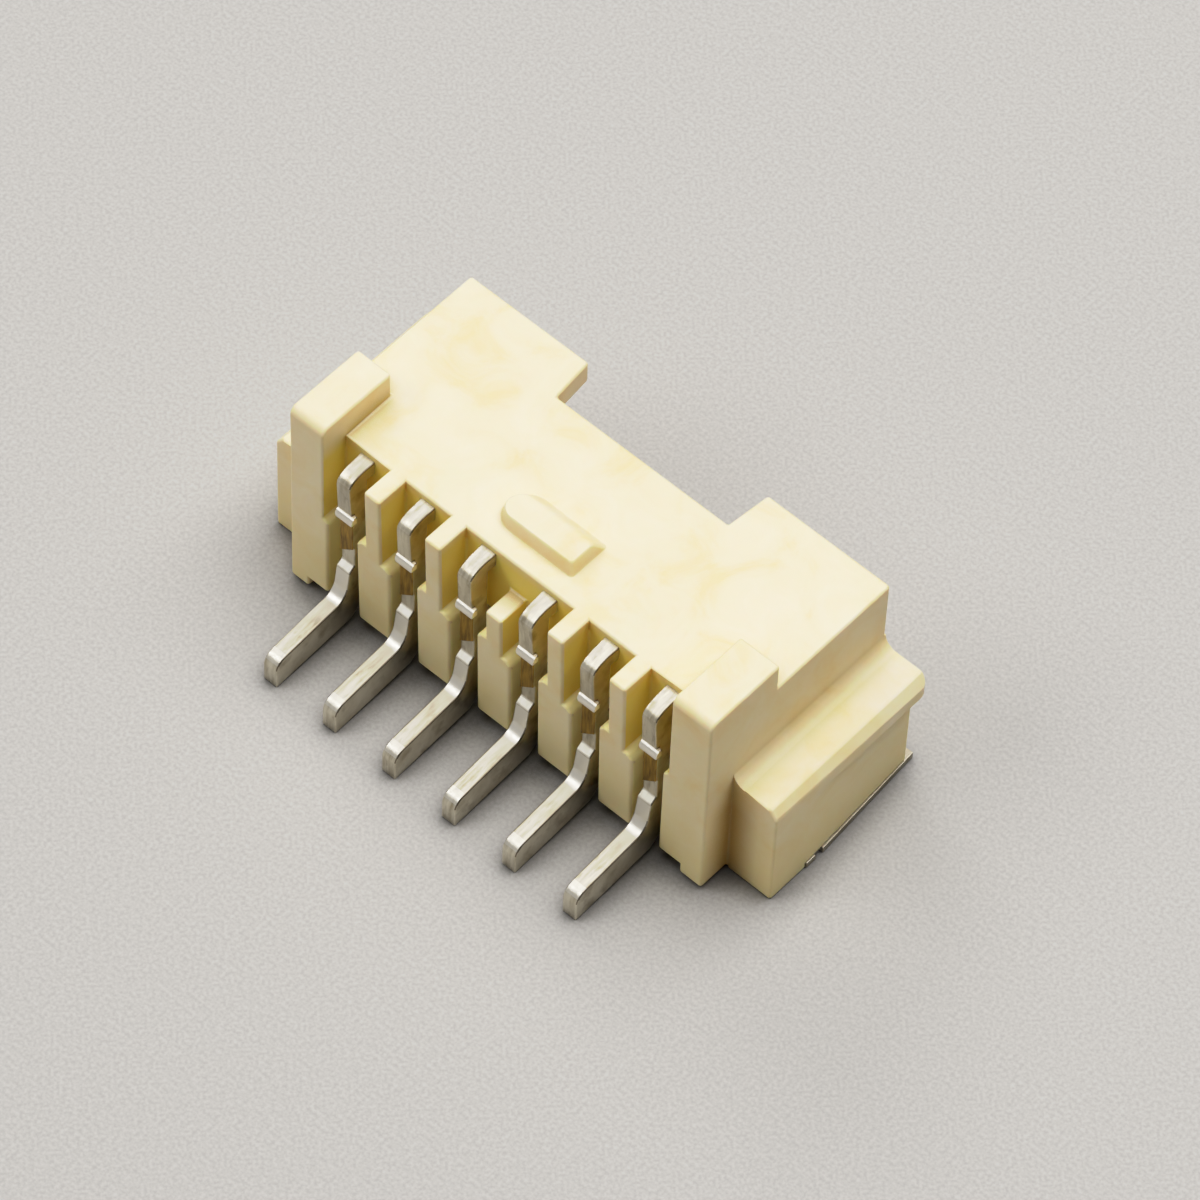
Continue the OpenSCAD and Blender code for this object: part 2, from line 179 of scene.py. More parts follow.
def soft_copy(node, name, radius, seams=(), drop=None, grown=None, crisp=(), eased=None,
              wide=(), wide_radius=None):
    """A CAD node's shape with the small round edges that its making leaves on it.

    A function may ease the merged copy's points first. Then its edges are rounded, a softer mesh is grown
    on where something was dropped, and corner normals that stray from their face are set back to it.
    """
    plain = merged_copy(node, name, seams, drop)
    if eased:
        points = np.empty(len(plain.vertices) * 3)
        plain.vertices.foreach_get("co", points)
        plain.vertices.foreach_set("co", eased(points.reshape(-1, 3)).reshape(-1))
        plain.update()
    sharp, radii, widest = rounding(plain, radius, crisp, wide, wide_radius)
    weight = radii / widest
    kept = sharp & (weight < LEAST_WEIGHT)
    plain.polygons.foreach_set("use_smooth", np.ones(len(plain.polygons), bool))
    plain.attributes.new("bevel_weight_edge", "FLOAT", "EDGE").data.foreach_set("value", weight)
    plain.attributes.new("sharp_edge", "BOOLEAN", "EDGE").data.foreach_set("value", kept)
    draft = bpy.data.objects.new(name + "_draft", plain)
    bpy.context.scene.collection.objects.link(draft)
    bevel = draft.modifiers.new("round_edges", "BEVEL")
    bevel.limit_method, bevel.width, bevel.segments = "WEIGHT", widest, ROUND_STEPS
    bevel.use_clamp_overlap = False
    if grown:
        rib = bpy.data.objects.new(name + "_rib", grown)
        bpy.context.scene.collection.objects.link(rib)
        union = draft.modifiers.new("grow_on", "BOOLEAN")
        union.operation, union.solver, union.object = "UNION", "EXACT", rib
    even = draft.modifiers.new("flat_faces", "WEIGHTED_NORMAL")
    even.weight, even.keep_sharp = FACE_WEIGHT, True
    mesh = bpy.data.meshes.new_from_object(draft.evaluated_get(bpy.context.evaluated_depsgraph_get()))
    bpy.data.objects.remove(draft)
    bpy.data.meshes.remove(plain)
    if grown:
        bpy.data.objects.remove(rib)
        bpy.data.meshes.remove(grown)
    mesh.transform(Matrix.Scale(MM, 4))
    mesh.name = name
    corner, face = np.empty(len(mesh.loops) * 3), np.empty(len(mesh.polygons) * 3)
    loops = np.empty(len(mesh.polygons), int)
    mesh.corner_normals.foreach_get("vector", corner)
    mesh.polygons.foreach_get("normal", face)
    mesh.polygons.foreach_get("loop_total", loops)
    corner, face = corner.reshape(-1, 3), np.repeat(face.reshape(-1, 3), loops, axis=0)
    stray = np.einsum("ij,ij->i", corner, face) < STRAY
    corner[stray] = face[stray]
    mesh.normals_split_custom_set(corner.tolist())
    piece = bpy.data.objects.new(name, mesh)
    bpy.context.scene.collection.objects.link(piece)
    return piece


# The key bar, a low rib on the plate: one round end, steep sides and a slope to the mating side
BAR_LEFT, BAR_RIGHT, BAR_REAR, BAR_FRONT = -0.95, 0.71, REAR + 0.89, REAR + 1.69
BAR_HEIGHT, BAR_DRAFT, BAR_SLOPE, BAR_CORNER = 0.24, 0.08, 0.22, 0.07
BAR_SINK, BAR_ROOT = 0.004, 0.05
# Shares of the way from foot to top where the rise starts, is full, begins to end and ends
BAR_RISE, BAR_RINGS, BAR_CAP = (-0.2, 0.2, 0.75, 1.25), 17, np.array((0.66, 0.33, 0.05))
END_POINTS, CORNER_POINTS = 33, 9


def bar_outline(left, right, rear, front, corner):
    """A half circle at the left and two small round corners at the right, seen from above."""
    half = (front - rear) / 2
    parts = ((left + half, rear + half, half, 90, 270, END_POINTS),
             (right - corner, rear + corner, corner, 270, 360, CORNER_POINTS),
             (right - corner, front - corner, corner, 0, 90, CORNER_POINTS))
    turns = [np.radians(np.linspace(start, stop, count)) for *_, start, stop, count in parts]
    return np.concatenate([np.stack([x + r * np.cos(turn), y + r * np.sin(turn)], axis=1)
                           for (x, y, r, *_), turn in zip(parts, turns)])


def key_bar():
    """Rings round the rib, each a way from its foot's outline to its top's and a height, and a flat cap.

    The height follows the sum of a trapezium over that way, so that foot and shoulder are rounded.
    """
    foot = bar_outline(BAR_LEFT, BAR_RIGHT, BAR_REAR, BAR_FRONT, BAR_CORNER)
    top = bar_outline(BAR_LEFT + BAR_DRAFT, BAR_RIGHT - BAR_DRAFT,
                      BAR_REAR + BAR_DRAFT, BAR_FRONT - BAR_SLOPE, BAR_CORNER)
    step = np.linspace(BAR_RISE[0], BAR_RISE[-1], BAR_RINGS)
    grade = np.interp(step, BAR_RISE, (0, 1, 1, 0))
    height = np.append(0, np.cumsum((grade[1:] + grade[:-1]) / 2))
    height *= (BAR_HEIGHT + BAR_SINK) / height[-1]
    rings = foot + step[:, None, None] * (top - foot)
    middle = rings[-1].mean(axis=0)
    cap = middle + (rings[-1] - middle) * BAR_CAP[:, None, None]
    flat = np.concatenate([rings[:1], rings, cap])
    level = PLATE_Z - BAR_SINK + np.concatenate([[-BAR_ROOT], height, np.full(len(cap), height[-1])])
    points = np.concatenate([flat, np.broadcast_to(level[:, None, None], (*flat.shape[:2], 1))], axis=2)
    deep, wide = flat.shape[:2]
    first = np.arange(deep - 1)[:, None] * wide + np.arange(wide)
    after = np.arange(deep - 1)[:, None] * wide + (np.arange(wide) + 1) % wide
    quads = np.stack([first, after, after + wide, first + wide], axis=2).reshape(-1, 4)
    ends = [np.arange(wide)[::-1].tolist(), (np.arange(wide) + (deep - 1) * wide).tolist()]
    mesh = bpy.data.meshes.new("key_bar")
    mesh.from_pydata(points.reshape(-1, 3).tolist(), [], quads.tolist() + ends)
    mesh.polygons.foreach_set("use_smooth", np.arange(len(mesh.polygons)) < len(quads))
    return mesh


def linear(code):
    """An sRGB hex colour as linear red, green, blue and alpha: the sRGB curve undone per channel."""
    srgb = np.array([int(code[i:i + 2], 16) for i in (1, 3, 5)]) / 255
    low, high = srgb / 12.92, ((srgb + 0.055) / 1.055) ** 2.4
    return (*np.where(srgb <= 0.04045, low, high).tolist(), 1.0)


def add(tree, kind, props=(), values=(), links=()):
    """Adds one node: its properties, the values of its inputs, and links from (node, output) pairs."""
    made = tree.nodes.new(kind)
    for key, value in dict(props).items():
        setattr(made, key, value)
    for key, value in dict(values).items():
        made.inputs[key].default_value = value
    for key, (source, output) in dict(links).items():
        tree.links.new(source.outputs[output], made.inputs[key])
    return made


def material(name):
    """An empty node material and its tree."""
    made = bpy.data.materials.new(name)
    made.use_nodes = True
    made.node_tree.nodes.clear()
    return made, made.node_tree


def face_table(mesh):
    """Each face's centre in millimetres and its normal, as columns of x, y and z."""
    centre, normal = np.empty(len(mesh.polygons) * 3), np.empty(len(mesh.polygons) * 3)
    mesh.polygons.foreach_get("center", centre)
    mesh.polygons.foreach_get("normal", normal)
    return centre.reshape(-1, 3).T / MM, normal.reshape(-1, 3).T


def tint(piece, name, share):
    """Writes a share for each face to the attribute that the piece's material reads by that name."""
    piece.data.attributes.new(name, "FLOAT", "FACE").data.foreach_set("value", share)


# Natural nylon 66, spark-eroded mould: pale ivory with faint warmer flow patches and a matte skin, and
# painted shade a little warmer near the board. Light travelling inside comes out amber, and it is painted
# here:
# painted shade darkens corners less than 0.7 mm wide, turns the bays golden and the nook beside each wing
# brown, and painted light keeps the slots below the bays pale. The real grain of about 0.01 mm can't show, so
# it is drawn at 0.04 mm.
NYLON, NYLON_WARM, NYLON_PALE = "#F2DEAA", "#F0D698", "#F5E4BA"
NYLON_CORNER_SHADE, NYLON_BAY_SHADE, NYLON_SLOT_LIT = "#C3A763", "#F9DA4D", "#FFEFA6"
NYLON_LOW_SHADE, NYLON_NOOK_SHADE = "#F1DB9A", "#B48A38"
FLOW_MM, GRAIN_MM, CORNER_SHADE_MM = 0.9, 0.04, 0.7
WARM_AT, IVORY_AT, PALE_AT = 0.3, 0.47, 0.7
# Each painted shade starts at the first and is full at the second: open share, heights, way from the nook
CORNER_SHADE_OPEN, LOW_Z, BAY_SHADE_Z, NOOK_Z, NOOK_MM = (0.8, 0.5), (2.0, 0.4), (4.0, 3.6), (2.4, 1.7), (0.55, 0.05)
NOOK, NOOK_SHADE_SHARE, LOW_SHADE_SHARE = (4.29, -REAR - 0.6, 0), 0.8, 0.7
GRAIN_SPAN, NYLON_ROUGH, GRAIN_BUMP, GRAIN_DEEP_MM = (0.3, 0.7), (0.45, 0.62), 0.25, 0.004
nylon, tree = material("moulded_nylon")
place = add(tree, "ShaderNodeTexCoord")
axes = add(tree, "ShaderNodeSeparateXYZ", {}, {}, {"Vector": (place, "Object")})
flow = add(tree, "ShaderNodeTexNoise", {}, {
    "Scale": 1 / (FLOW_MM * MM), "Detail": 4.0, "Roughness": 0.6, "Distortion": 0.8},
    {"Vector": (place, "Object")})
grain = add(tree, "ShaderNodeTexNoise", {}, {"Scale": 1 / (GRAIN_MM * MM), "Detail": 3.0},
            {"Vector": (place, "Object")})
tone = add(tree, "ShaderNodeValToRGB", {}, {}, {"Fac": (flow, "Fac")})
stops = tone.color_ramp.elements
stops[0].position, stops[0].color = WARM_AT, linear(NYLON_WARM)
stops[1].position, stops[1].color = PALE_AT, linear(NYLON_PALE)
stops.new(IVORY_AT).color = linear(NYLON)
# Painted shade: the colour turns warmer and a little darker towards the board
low = add(tree, "ShaderNodeMapRange", {}, {
    "From Min": LOW_Z[0] * MM, "From Max": LOW_Z[1] * MM, "To Min": 0.0, "To Max": LOW_SHADE_SHARE},
    {"Value": (axes, "Z")})
toned = add(tree, "ShaderNodeMix", {"data_type": "RGBA"}, {"B": linear(NYLON_LOW_SHADE)},
            {"Factor": (low, "Result"), "A": (tone, "Color")})
# Painted shade: corners narrower than 0.7 mm are darkened towards the corner colour
recess = add(tree, "ShaderNodeAmbientOcclusion", {"samples": 8, "only_local": True},
             {"Distance": CORNER_SHADE_MM * MM})
corner_shade = add(tree, "ShaderNodeMapRange", {}, {
    "From Min": CORNER_SHADE_OPEN[0], "From Max": CORNER_SHADE_OPEN[1], "To Min": 0.0, "To Max": 1.0},
    {"Value": (recess, "AO")})
shaded = add(tree, "ShaderNodeMix", {"data_type": "RGBA"}, {"B": linear(NYLON_CORNER_SHADE)},
             {"Factor": (corner_shade, "Result"), "A": (toned, "Result")})
# Painted light: the slot walls and ledges are lightened as if lit
slot = add(tree, "ShaderNodeAttribute", {"attribute_name": "slot"})
lit = add(tree, "ShaderNodeMix", {"data_type": "RGBA"}, {"B": linear(NYLON_SLOT_LIT)},
          {"Factor": (slot, "Fac"), "A": (shaded, "Result")})
# Painted shade: the bays turn golden towards their top
bay = add(tree, "ShaderNodeAttribute", {"attribute_name": "bay"})
deep = add(tree, "ShaderNodeMapRange", {}, {
    "From Min": BAY_SHADE_Z[0] * MM, "From Max": BAY_SHADE_Z[1] * MM, "To Min": 0.0, "To Max": 1.0},
    {"Value": (axes, "Z")})
bay_shade_amount = add(tree, "ShaderNodeMath", {"operation": "MULTIPLY"}, {}, {0: (deep, "Result"), 1: (bay, "Fac")})
golden_shade = add(tree, "ShaderNodeMix", {"data_type": "RGBA"}, {"B": linear(NYLON_BAY_SHADE)},
             {"Factor": (bay_shade_amount, "Value"), "A": (lit, "Result")})
# Painted shade: the nook beside each wing is darkened brown towards the board
both = add(tree, "ShaderNodeVectorMath", {"operation": "ABSOLUTE"}, {}, {0: (place, "Object")})
flat = add(tree, "ShaderNodeVectorMath", {"operation": "MULTIPLY"}, {1: (1, 1, 0)}, {0: (both, "Vector")})
away = add(tree, "ShaderNodeVectorMath", {"operation": "DISTANCE"}, {1: [MM * v for v in NOOK]},
           {0: (flat, "Vector")})
close = add(tree, "ShaderNodeMapRange", {}, {
    "From Min": NOOK_MM[0] * MM, "From Max": NOOK_MM[1] * MM, "To Min": 0.0, "To Max": NOOK_SHADE_SHARE},
    {"Value": (away, "Value")})
below = add(tree, "ShaderNodeMapRange", {}, {
    "From Min": NOOK_Z[0] * MM, "From Max": NOOK_Z[1] * MM, "To Min": 0.0, "To Max": 1.0},
    {"Value": (axes, "Z")})
nook_shade = add(tree, "ShaderNodeMath", {"operation": "MULTIPLY"}, {},
           {0: (close, "Result"), 1: (below, "Result")})
colour = add(tree, "ShaderNodeMix", {"data_type": "RGBA"}, {"B": linear(NYLON_NOOK_SHADE)},
             {"Factor": (nook_shade, "Value"), "A": (golden_shade, "Result")})
skin = add(tree, "ShaderNodeMapRange", {}, {
    "From Min": GRAIN_SPAN[0], "From Max": GRAIN_SPAN[1], "To Min": NYLON_ROUGH[0], "To Max": NYLON_ROUGH[1]},
    {"Value": (grain, "Fac")})
bump = add(tree, "ShaderNodeBump", {}, {"Strength": GRAIN_BUMP, "Distance": GRAIN_DEEP_MM * MM},
           {"Height": (grain, "Fac")})
shade = add(tree, "ShaderNodeBsdfPrincipled", {}, {
    "IOR": 1.53, "Subsurface Weight": 0.3, "Subsurface Radius": (1.0, 0.5, 0.15),
    "Subsurface Scale": 0.25 * MM},
    {"Base Color": (colour, "Result"), "Roughness": (skin, "Result"), "Normal": (bump, "Normal")})
add(tree, "ShaderNodeOutputMaterial", {}, {}, {"Surface": (shade, "BSDF")})

# Where shade is painted: the bays with the ears' inner sides; where light is painted: the slots below them
# and the ledges between
BAY_X, BAY_Y, BAY_Z, BAY_SHADE_SHARE = 3.62, (REAR + 0.03, REAR + 0.6), (2.3, 3.8), 0.85
EAR_X, EAR_Y, EAR_Z = 3.4, REAR + 0.9, 4.2
SLOT_Z, LEDGE_Z, SLOT_LIGHT = 0.35, (2, 2.6), 0.85
WALL_UP, LEDGE_UP = 0.6, 0.3
housing = soft_copy("housing", "moulded_housing", HOUSING_EDGE, seams=(ARM_Z, BLADE_Z),
                    drop=(BAR_LOW, BAR_HIGH, PLATE_Z), grown=key_bar(), crisp=CRISP,
                    wide=BLOCKS, wide_radius=BLOCK_EDGE)
(x, y, z), (_, _, up) = face_table(housing.data)
inside = (abs(x) < BAY_X) & (y > BAY_Y[0]) & (y < BAY_Y[1])
ear = (abs(x) > EAR_X) & (abs(x) < BAY_X) & (y > BAY_Y[0]) & (y < EAR_Y) & (z < EAR_Z)
in_bay = (inside & (z < BAY_Z[1]) | ear) & (z > BAY_Z[0]) & (up < WALL_UP)
ledge = (abs(x) < BAY_X) & (y < BAY_Y[1]) & (z > LEDGE_Z[0]) & (z < LEDGE_Z[1]) & (up > LEDGE_UP)
in_slot = inside & (z > SLOT_Z) & (z <= BAY_Z[0]) & (up < WALL_UP) | ledge
# Painted shade in the bays and on the ears' inner sides
tint(housing, "bay", BAY_SHADE_SHARE * in_bay)
# Painted light on the slot walls and the ledges
tint(housing, "slot", SLOT_LIGHT * in_slot)
housing.data.materials.clear()
housing.data.materials.append(nylon)
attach(housing, "root")
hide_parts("housing")


# The terminals: six alike, blanked from brass sheet on a carrier strip, tinned all over, pressed
# into the bays and then cut from the strip. The cut leaves a bare brass mark half way up the back
# with a pushed-over lip above it. Blanked edges are only just rounded.

TERMINAL_EDGE, HALF_T, TOUCH = 0.022, 0.14, 0.003
# The crown's arc in the CAD, the share of its rear half that rolls over, and the curve it goes to
CROWN_CENTRE, CROWN_R, CROWN_TURN = np.array((REAR + 0.33, 3.0797)), 0.6203, 0.6593
CROWN_SHARE = (0.05, 1.05)
CROWN = np.array(((0.1292, 3.6666), (-0.05, 3.605), (-0.0447, 3.47))) + (REAR, 0)
# The arc above the tail in the CAD, and the curve it goes to
ROOT_CENTRE, ROOT_R = np.array((REAR - 0.26, 0.89)), 0.14
BEND = np.array(((-0.33, 0.742), (-0.2, 0.757), (-0.113, 0.9), (-0.104, 0.97))) + (REAR, 0)
MARK_Y, MARK_Z, MARK_SLANT = REAR + 0.03, (1.66, 2.6), 0.24
JOG, JOG_RISE = np.array((REAR - 0.05, 1.24)), 0.1
NECK_Y, LIP_TOP, LIP_SWELL, LIP_SQUASH = REAR - 0.01, 2.82, 1.4, 0.72
# The lip's upper edges, which stay crisp
LIP = (((0, REAR - 0.1, 2.7), (9, REAR + 0.02, 2.84)),)
# The arm's end in the wall, swollen so that no slit shows round it
ARM_END_Y, ARM_END_Z, ARM_MIDDLE, ARM_SWELL = REAR + 1.0, 3.3, 3.56, 1.357


def bezier(share, controls):
    """The point at a share of the way along the curve that some points span: each stretch between two
    of them is cut at that share, and the cuts are joined and cut again until one point is left."""
    while len(controls) > 1:
        controls = [start + share * (stop - start) for start, stop in zip(controls, controls[1:])]
    return controls[0]


def formed(points):
    """A terminal's points, moved from the CAD's plain forms to those that blanking and cutting leave.

    The rear half of the crown's arc and the arc above the tail go to softer curves: a point at an angle
    round the arc goes to that share of the way along its curve. The mark's foot rises on the right and
    the jog's outer edge all along. The lip is stretched outwards from the neck and drawn up towards its
    top, and the arm's hidden end swells about its middle.
    """
    x, y, z = points.T
    made = points.copy()
    arm = points[:, 1:] - ROOT_CENTRE
    share = 1 + np.arctan2(arm[:, 1], arm[:, 0]) / radians(90)
    on_bend = abs(np.linalg.norm(arm, axis=1) - ROOT_R) < TOUCH
    made[on_bend, 1:] = bezier(share[on_bend, None], BEND)
    arm = points[:, 1:] - CROWN_CENTRE
    share = 2 * np.arctan2(-arm[:, 0], arm[:, 1]) / CROWN_TURN - 1
    rolled = ((abs(np.linalg.norm(arm, axis=1) - CROWN_R) < TOUCH)
              & (share > CROWN_SHARE[0]) & (share < CROWN_SHARE[1]))
    made[rolled, 1:] = bezier(share[rolled, None], CROWN)
    raised = (abs(z - MARK_Z[0]) < TOUCH) & (x > x.mean())
    made[raised, 2] += MARK_SLANT
    made[np.linalg.norm(points[:, 1:] - JOG, axis=1) < TOUCH, 2] += JOG_RISE
    level = (z > MARK_Z[1] - TOUCH) & (z < LIP_TOP + TOUCH)
    outer = level & (y < NECK_Y - TOUCH)
    lip = outer | level & (x > x.min() + 2 * HALF_T + TOUCH)
    made[outer, 1] = NECK_Y + LIP_SWELL * (y[outer] - NECK_Y)
    made[lip, 2] = LIP_TOP - LIP_SQUASH * (LIP_TOP - z[lip])
    middle = np.array((x.min() + HALF_T, 0, ARM_MIDDLE))
    gripped = (y > ARM_END_Y) & (z > ARM_END_Z)
    made[gripped] += (ARM_SWELL - 1) * (points[gripped] - middle) * (1, 0, 1)
    return made


# Matte tin plate over brass: a soft, warm grey-white mirror, drawn out in low streaks along the strip by
# the blanking, with thin brownish stains. A painted highlight lightens the lip, the jog, the bends, the steep
# stretch and the tails' roots and tips, and painted shade dulls the neck. It is dark along the burr of a
# blanked edge. Grain of about 0.01 mm is drawn at 0.05 mm.
TIN, TIN_DULL, TIN_SPECK = "#D8D1BD", "#B7AD95", "#8E7F62"
TIN_HIGHLIGHT, TIN_BURR_AND_SHADE = "#EAE5D8", "#5E5040"
STREAK_MM, TIN_GRAIN_MM, SPECK_MM = 0.09, 0.05, 0.1
STREAK_DRAWN, SPECK_DRAWN = (1.0, 0.12, 0.12), (1.0, 0.3, 0.3)
DULL_AT, TIN_AT, SPECK_SPAN, SPECK_SHARE = 0.32, 0.6, (0.54, 0.7), 0.6
ROOT_HIGHLIGHT_Y, ROOT_HIGHLIGHT_SHARE = (REAR - 0.8, REAR - 0.3), 0.9
TIN_ROUGH, SPECK_BUMP, SPECK_DEEP_MM = (0.33, 0.45), 0.5, 0.008
tin, tree = material("tin_plate")
place = add(tree, "ShaderNodeTexCoord")
axes = add(tree, "ShaderNodeSeparateXYZ", {}, {}, {"Vector": (place, "Object")})
drawn = add(tree, "ShaderNodeMapping", {}, {"Scale": STREAK_DRAWN}, {"Vector": (place, "Object")})
streak = add(tree, "ShaderNodeTexNoise", {}, {
    "Scale": 1 / (STREAK_MM * MM), "Detail": 4.0, "Roughness": 0.6}, {"Vector": (drawn, "Vector")})
grain = add(tree, "ShaderNodeTexNoise", {}, {"Scale": 1 / (TIN_GRAIN_MM * MM), "Detail": 2.0},
            {"Vector": (place, "Object")})
drawn_less = add(tree, "ShaderNodeMapping", {}, {"Scale": SPECK_DRAWN}, {"Vector": (place, "Object")})
specks = add(tree, "ShaderNodeTexNoise", {}, {"Scale": 1 / (SPECK_MM * MM), "Detail": 3.0},
             {"Vector": (drawn_less, "Vector")})
tone = add(tree, "ShaderNodeValToRGB", {}, {}, {"Fac": (streak, "Fac")})
stops = tone.color_ramp.elements
stops[0].position, stops[0].color = DULL_AT, linear(TIN_DULL)
stops[1].position, stops[1].color = TIN_AT, linear(TIN)
worn = add(tree, "ShaderNodeMapRange", {}, {
    "From Min": SPECK_SPAN[0], "From Max": SPECK_SPAN[1], "To Min": 0.0, "To Max": SPECK_SHARE},
    {"Value": (specks, "Fac")})
speckled = add(tree, "ShaderNodeMix", {"data_type": "RGBA"}, {"B": linear(TIN_SPECK)},
               {"Factor": (worn, "Result"), "A": (tone, "Color")})
# Painted highlight: the tails' tops are lightened near their roots, and the faces listed per terminal too
near = add(tree, "ShaderNodeMapRange", {}, {
    "From Min": ROOT_HIGHLIGHT_Y[0] * MM, "From Max": ROOT_HIGHLIGHT_Y[1] * MM, "To Min": 0.0, "To Max": ROOT_HIGHLIGHT_SHARE},
    {"Value": (axes, "Y")})
tail = add(tree, "ShaderNodeAttribute", {"attribute_name": "tail"})
root = add(tree, "ShaderNodeMath", {"operation": "MULTIPLY"}, {}, {0: (near, "Result"), 1: (tail, "Fac")})
painted_highlight = add(tree, "ShaderNodeAttribute", {"attribute_name": "painted_highlight"})
highlight_share = add(tree, "ShaderNodeMath", {"operation": "MAXIMUM"}, {},
               {0: (root, "Value"), 1: (painted_highlight, "Fac")})
highlighted = add(tree, "ShaderNodeMix", {"data_type": "RGBA"}, {"B": linear(TIN_HIGHLIGHT)},
             {"Factor": (highlight_share, "Value"), "A": (speckled, "Result")})
# The burr's own dark edge, and painted shade on the neck and on the tabs
burr_and_shade = add(tree, "ShaderNodeAttribute", {"attribute_name": "burr_and_shade"})
colour = add(tree, "ShaderNodeMix", {"data_type": "RGBA"}, {"B": linear(TIN_BURR_AND_SHADE)},
             {"Factor": (burr_and_shade, "Fac"), "A": (highlighted, "Result")})
rough = add(tree, "ShaderNodeMapRange", {}, {
    "From Min": GRAIN_SPAN[0], "From Max": GRAIN_SPAN[1], "To Min": TIN_ROUGH[0], "To Max": TIN_ROUGH[1]},
    {"Value": (grain, "Fac")})
bump = add(tree, "ShaderNodeBump", {}, {"Strength": SPECK_BUMP, "Distance": SPECK_DEEP_MM * MM},
           {"Height": (specks, "Fac")})
shade = add(tree, "ShaderNodeBsdfPrincipled", {}, {"Metallic": 1.0},
            {"Base Color": (colour, "Result"), "Roughness": (rough, "Result"), "Normal": (bump, "Normal")})
add(tree, "ShaderNodeOutputMaterial", {}, {}, {"Surface": (shade, "BSDF")})

# Bare sheared brass: brown-gold, torn in fine upright streaks of about 0.03 mm, drawn at 0.05 mm.
BRASS, BRASS_DARK = "#B48F3C", "#6B5120"
TORN_MM, TORN_DRAWN, TORN_SPAN = 0.05, (1.0, 1.0, 0.15), (0.3, 0.7)
TORN_BUMP, TORN_DEEP_MM = 0.5, 0.006
brass, tree = material("sheared_brass")
place = add(tree, "ShaderNodeTexCoord")
upright = add(tree, "ShaderNodeMapping", {}, {"Scale": TORN_DRAWN}, {"Vector": (place, "Object")})
torn = add(tree, "ShaderNodeTexNoise", {}, {"Scale": 1 / (TORN_MM * MM), "Detail": 4.0},
           {"Vector": (upright, "Vector")})
tone = add(tree, "ShaderNodeValToRGB", {}, {}, {"Fac": (torn, "Fac")})
stops = tone.color_ramp.elements
stops[0].position, stops[0].color = TORN_SPAN[0], linear(BRASS_DARK)
stops[1].position, stops[1].color = TORN_SPAN[1], linear(BRASS)
bump = add(tree, "ShaderNodeBump", {}, {"Strength": TORN_BUMP, "Distance": TORN_DEEP_MM * MM},
           {"Height": (torn, "Fac")})
shade = add(tree, "ShaderNodeBsdfPrincipled", {}, {"Metallic": 1.0, "Roughness": 0.45},
            {"Base Color": (tone, "Color"), "Normal": (bump, "Normal")})
add(tree, "ShaderNodeOutputMaterial", {}, {}, {"Surface": (shade, "BSDF")})

# Where each part of a terminal lies: its heights, and its way in from REAR, below 0 behind it. A face
# that looks straight to the rear has -1 to_front, and one that looks straight up has 1 up.
MARK_NEAR, NECK_FOOT_Z, LIP_IN, TAIL_IN, TIP_IN = 0.015, 2.83, -0.012, -0.15, -1.4
JOG_Z, STEEP_Z, BEND_Z = (1.3, 1.47), (0.95, 1.3), (0.74, 0.97)
HIGHLIGHT_LESS, BURR_EDGE, NECK_SHADE = 0.6, 0.8, 0.2
for i in range(1, CONTACT_COUNT + 1):
    terminal = soft_copy(f"terminal_{i}", f"tinned_terminal_{i}", TERMINAL_EDGE, crisp=LIP, eased=formed)
    terminal.data.materials.clear()
    terminal.data.materials.append(tin)
    terminal.data.materials.append(brass)
    (_, y, z), (to_right, to_front, up) = face_table(terminal.data)
    bare = (to_front < -0.5) & (abs(y - MARK_Y) < MARK_NEAR) & (z > MARK_Z[0]) & (z < MARK_Z[1])
    terminal.data.polygons.foreach_set("material_index", bare.astype(np.int32))
    into = y - REAR
    lip = (z > MARK_Z[1]) & (z < NECK_FOOT_Z) & (into < LIP_IN)
    jog = (z > JOG_Z[0]) & (z < JOG_Z[1]) & (up > 0.4)
    steep = (z > STEEP_Z[0]) & (z < STEEP_Z[1]) & (to_front < -0.8)
    bend = (z > BEND_Z[0]) & (z <= BEND_Z[1]) & (into < 0) & (to_front < -0.3)
    tip = (into < TIP_IN) & (up > 0.6)
    tail = (into < TAIL_IN) & (z < STEEP_Z[0]) & (up > 0.3)
    edge = (to_right > 0.25) & (to_right < 0.97) & (up > 0.15)
    neck = (z > NECK_FOOT_Z) & (to_front < -0.9)
    # Painted highlight on the lip, the steep stretch, the bend, and more weakly on the jog and the tip
    tint(terminal, "painted_highlight", np.maximum(1.0 * (lip | steep | bend), HIGHLIGHT_LESS * (jog | tip)))
    tint(terminal, "tail", 1.0 * tail)
    # Dark burr along the blanked edge, and painted shade on the neck
    tint(terminal, "burr_and_shade", BURR_EDGE * edge + NECK_SHADE * neck)
    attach(terminal, "root")
    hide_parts(f"terminal_{i}")


# The solder tabs: thin tinned brass sheet, blanked and bent, pressed up into the wings from below.
# Each foot lies flat on the board, flush with its wing, and painted shade makes its plate duller than the
# terminals'.

TAB_EDGE, TAB_SHADE = 0.02, 0.45
# The edges at the bend, which stay crisp
TAB_BEND = (((4.5, 0, -0.1), (4.9, 3, 0.2)),)
for side in ("left", "right"):
    tab = soft_copy(f"{side}_solder_tab", f"{side}_tinned_tab", TAB_EDGE, crisp=TAB_BEND)
    tab.data.materials.clear()
    tab.data.materials.append(tin)
    # Painted shade laid evenly over the whole tab
    tint(tab, "burr_and_shade", np.full(len(tab.data.polygons), TAB_SHADE))
    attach(tab, "root")
    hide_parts(f"{side}_solder_tab")


# The stage: a plain pale grey board under four soft lights, straight above, a little forward, far to the
# left and left behind, with a large upright panel further behind. The camera stands behind, above and to
# the right of the part.

